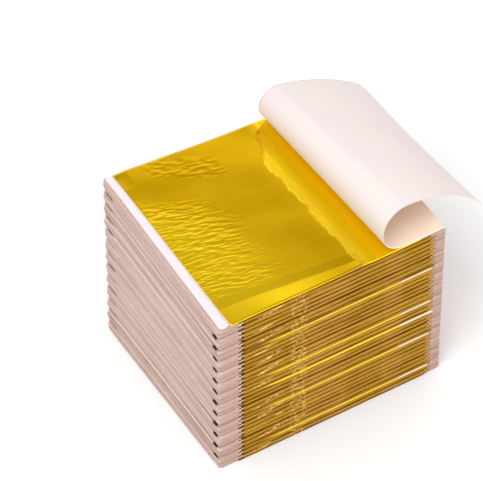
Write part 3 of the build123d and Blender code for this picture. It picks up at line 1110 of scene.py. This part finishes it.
# Past the ridge, towards the page, the two steps of the painted reflection of the page each begin and
# are full at a pair of lengths.
REFLECTION_NEAR, REFLECTION_FAR = (-0.1 * MM, 0.4 * MM), (1.5 * MM, 5 * MM)

# The leaf's rim bends down over the edges of the tissue.
RIM_WIDTH, RIM_OUT, RIM_DOWN = 0.2 * MM, 0.45 * MM, 0.4 * MM


def stretches(half, steps, count):
    """Places from -half to half: one stretch for each step, then evenly spaced ones."""
    start, places = -half, []
    for end, step in steps:
        places.append(np.arange(start, end, step))
        start = end
    return np.concatenate([*places, np.linspace(start, half, count)])


def rippled(x, y):
    """Two heights of the bare leaf: its ripples, in their patches, and its crumpled strip."""
    slanted, steep = y + SLANT * x, y + STEEP_SLANT * x
    bend = RIPPLE_BEND * rough(x / RIPPLE_BEND_SIZE, y / RIPPLE_BEND_SIZE, RIPPLE_BEND_SEED)
    ripples = sum(
        share * rough(x / length + start, slanted / width + bend, seed)
        for share, length, width, start, seed in RIPPLES
    )
    patches = smooth_step(rough(x / PATCH_SIZE[0], y / PATCH_SIZE[1], PATCH_SEED), -0.5, 0.5)
    zone = smooth_step(x, *RIPPLED_LEFT) * smooth_step(steep, *RIPPLED_FRONT)
    zone *= 0.5 + 0.5 * patches
    strip = smooth_step(steep, *STRIP_FRONT) * smooth_step(steep, *STRIP_BACK)
    strip = strip * smooth_step(x, *STRIP_LEFT) * smooth_step(x, *STRIP_RIGHT)
    crumple = rough(x / CRUMPLE_SIZE[0], slanted / CRUMPLE_SIZE[1], CRUMPLE_SEED)
    return settings().leaf.crinkle_height * ripples * zone, strip * crumple * CRUMPLE_HEIGHT


def past_ridge(x, y):
    """How far a point of the leaf lies past the line of its ridge, towards the page."""
    line = RIDGE_PLACE
    for length, depth, row, seed in RIDGE_WANDER:
        line = line + rough(y * 0 + row, y / length, seed) * depth
    return x + RIDGE_LEAN * y - line - smooth_step(y, *RIDGE_BEND) * RIDGE_BEND_DEPTH


def leaf_height(x, y, past):
    """Height of the bare leaf over the open flap."""
    loose = 1 - smooth_step(x, *LOOSE_END)
    ripples, crumple = rippled(x, y)
    swing = rough(x / SWING_SIZE[0] + 4, y / SWING_SIZE[1] + 7, SWING_SEED) * SWING_HEIGHT
    edge = EDGE_WIDTH + EDGE_GROWTH * smooth_step(x, *EDGE_RUN)
    gap = y - FRONT - edge
    ripples = ripples * smooth_step(gap, *RIPPLED_GAP)
    rise = np.where(gap < 0, -gap * EDGE_SLOPE, np.minimum(gap, RISE_END) * RISE_SLOPE)
    rise -= np.clip(gap - RISE_END, 0, FALL_RUN) * FALL_SLOPE
    ridge = smooth_step(past, *RIDGE_RISE) * RIDGE_HEIGHT - np.clip(past, 0, STEEP_RUN) * STEEP_FALL
    ridge -= np.clip(past - STEEP_RUN, 0, FAR_RUN) * FAR_FALL
    height = loose * (LOOSE_LIFT + ripples + swing + crumple + rise)
    height += (1 - smooth_step(x, *RIDGE_END)) * (ridge + RIDGE_LIFT)
    return np.maximum(height, FLAP_TOP - BARE_LOW.z + LOWEST_GAP)


class LEAFBOOK_OT_bare_leaf(bpy.types.Operator):
    """Make the crinkled bare leaf on top of the stack"""

    bl_idname = "leafbook.bare_leaf"
    bl_label = "Bare gold leaf"

    def execute(self, context):
        half = LEAF_SIZE / 2
        columns = stretches(half, COLUMN_STEPS, LAST_COLUMNS)
        across, along = np.meshgrid(columns, stretches(half, ROW_STEPS, LAST_ROWS))
        turn = settings().leaf.bare_turn
        centre = (BARE_LOW + BARE_HIGH) / 2
        x = centre.x + across * math.cos(turn) - along * math.sin(turn)
        y = centre.y + across * math.sin(turn) + along * math.cos(turn)
        past = past_ridge(x, y)
        height = leaf_height(x, y, past)
        rim = np.clip(1 - (half - np.abs(along)) / RIM_WIDTH, 0, 1)
        y = y + np.sign(along) * rim * RIM_OUT
        grids = []
        for z in (BARE_LOW.z + LEAF_THICKNESS, BARE_LOW.z):
            level = settle(x, y, z + 0 * x, OPEN_BASE)
            grids.append(np.stack([x, y, level + height - rim * RIM_DOWN], 2))
        # Painted reflection of the rolled page, in two steps past the ridge.
        band = smooth_step(past, *REFLECTION_NEAR) + smooth_step(past, *REFLECTION_FAR)
        band = np.tile(band.ravel() / 2, 2)
        mesh = thin_sheet("bare_gold_leaf", *grids, {"band": band})
        piece = show("bare_gold_leaf", mesh, bare_gold_finish())
        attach(piece, "exposed_leaf")
        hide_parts("exposed_metal_leaf")
        return {"FINISHED"}


# The page: the bend that it starts with, in degrees, its grid, and its slight sway, which comes in
# after the flat run. Each tint begins and is full at its two lengths from the fold line. The limb and
# contact tints are painted shade, the contact one warmed by the gold's light.
ROOT_START, ROOT_END, ROOT_COLUMNS = 125, 12, 9
PAGE_COLUMNS, PAGE_ROWS = 190, 81
PAGE_SWAY_START, PAGE_SWAY_FULL = 4 * MM, 20 * MM
PAGE_SWAY_SIZE, PAGE_SWAY_DEPTH, PAGE_SWAY_SEED = (24 * MM, 30 * MM), 0.15 * MM, 51
TINTS = {
    "course": (18 * MM, 60 * MM),
    "limb": (46 * MM, 30 * MM),
    "contact": (29 * MM, 26 * MM),
}


class LEAFBOOK_OT_page(bpy.types.Operator):
    """Roll the top page back over its fold line"""

    bl_idname = "leafbook.page"
    bl_label = "Rolled page"

    def execute(self, context):
        page = settings().page
        at_fold = -ROOT_RADIUS * np.radians(np.linspace(ROOT_START, ROOT_END, ROOT_COLUMNS))
        reach = np.concatenate([at_fold, np.linspace(0, page.width, PAGE_COLUMNS)])
        across, along = np.meshgrid(reach, np.linspace(FRONT, BACK, PAGE_ROWS))
        start, full = page.flat_run + PAGE_SWAY_START, page.flat_run + PAGE_SWAY_FULL
        sway = rough(across / PAGE_SWAY_SIZE[0], along / PAGE_SWAY_SIZE[1], PAGE_SWAY_SEED)
        sway = sway * PAGE_SWAY_DEPTH * smooth_step(across, start, full)
        grids = [page_points(across, along, sway + side * PAPER / 2) for side in (1, -1)]
        marks = {name: np.tile(smooth_step(across, *run).ravel(), 2) for name, run in TINTS.items()}
        marks["inner"] = np.repeat([1.0, 0.0], across.size)
        mesh = thin_sheet("rolled_page", *grids, marks)
        piece = show("rolled_page", mesh, page_finish())
        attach(piece, "page")
        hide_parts("turned_back_page")
        return {"FINISHED"}


class LEAFBOOK_PT_panel(bpy.types.Panel):
    """Sidebar panel that lists the pieces of the stack"""

    bl_label = "Leaf Booklets"
    bl_idname = "LEAFBOOK_PT_panel"
    bl_space_type = "VIEW_3D"
    bl_region_type = "UI"
    bl_category = "Leaf Booklets"

    def draw(self, context):
        choice = context.scene.leaf_booklets
        for operator, group in PANEL_ROWS:
            box = self.layout.box()
            box.operator(operator.bl_idname)
            if group:
                values = getattr(choice, group)
                for name in type(values).__annotations__:
                    box.prop(values, name)
        for name in ("swell_share", "swell_start", "seed"):
            self.layout.prop(choice, name)


PANEL_ROWS = [
    (LEAFBOOK_OT_stage, "stage"),
    (LEAFBOOK_OT_tissues, "tissue"),
    (LEAFBOOK_OT_open_flap, None),
    (LEAFBOOK_OT_leaves, "leaf"),
    (LEAFBOOK_OT_bare_leaf, None),
    (LEAFBOOK_OT_page, "page"),
]
CLASSES = [
    TissueSettings, LeafSettings, PageSettings, StageSettings, BookletSettings,
    LEAFBOOK_OT_stage, LEAFBOOK_OT_tissues, LEAFBOOK_OT_leaves, LEAFBOOK_OT_open_flap,
    LEAFBOOK_OT_bare_leaf, LEAFBOOK_OT_page, LEAFBOOK_PT_panel,
]


def register():
    for each in CLASSES:
        bpy.utils.register_class(each)
    bpy.types.Scene.leaf_booklets = PointerProperty(type=BookletSettings)


def unregister():
    del bpy.types.Scene.leaf_booklets
    for each in reversed(CLASSES):
        bpy.utils.unregister_class(each)


def main():
    """Dresses the whole stack."""
    register()
    bpy.ops.leafbook.stage()
    bpy.ops.leafbook.tissues()
    bpy.ops.leafbook.leaves()
    bpy.ops.leafbook.open_flap()
    bpy.ops.leafbook.bare_leaf()
    bpy.ops.leafbook.page()
    sizes = {"cad": [list(corner) for corner in CAD_CORNERS]}
    sizes["visual"] = [list(corner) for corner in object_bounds()]


if __name__ == "__main__":
    main()
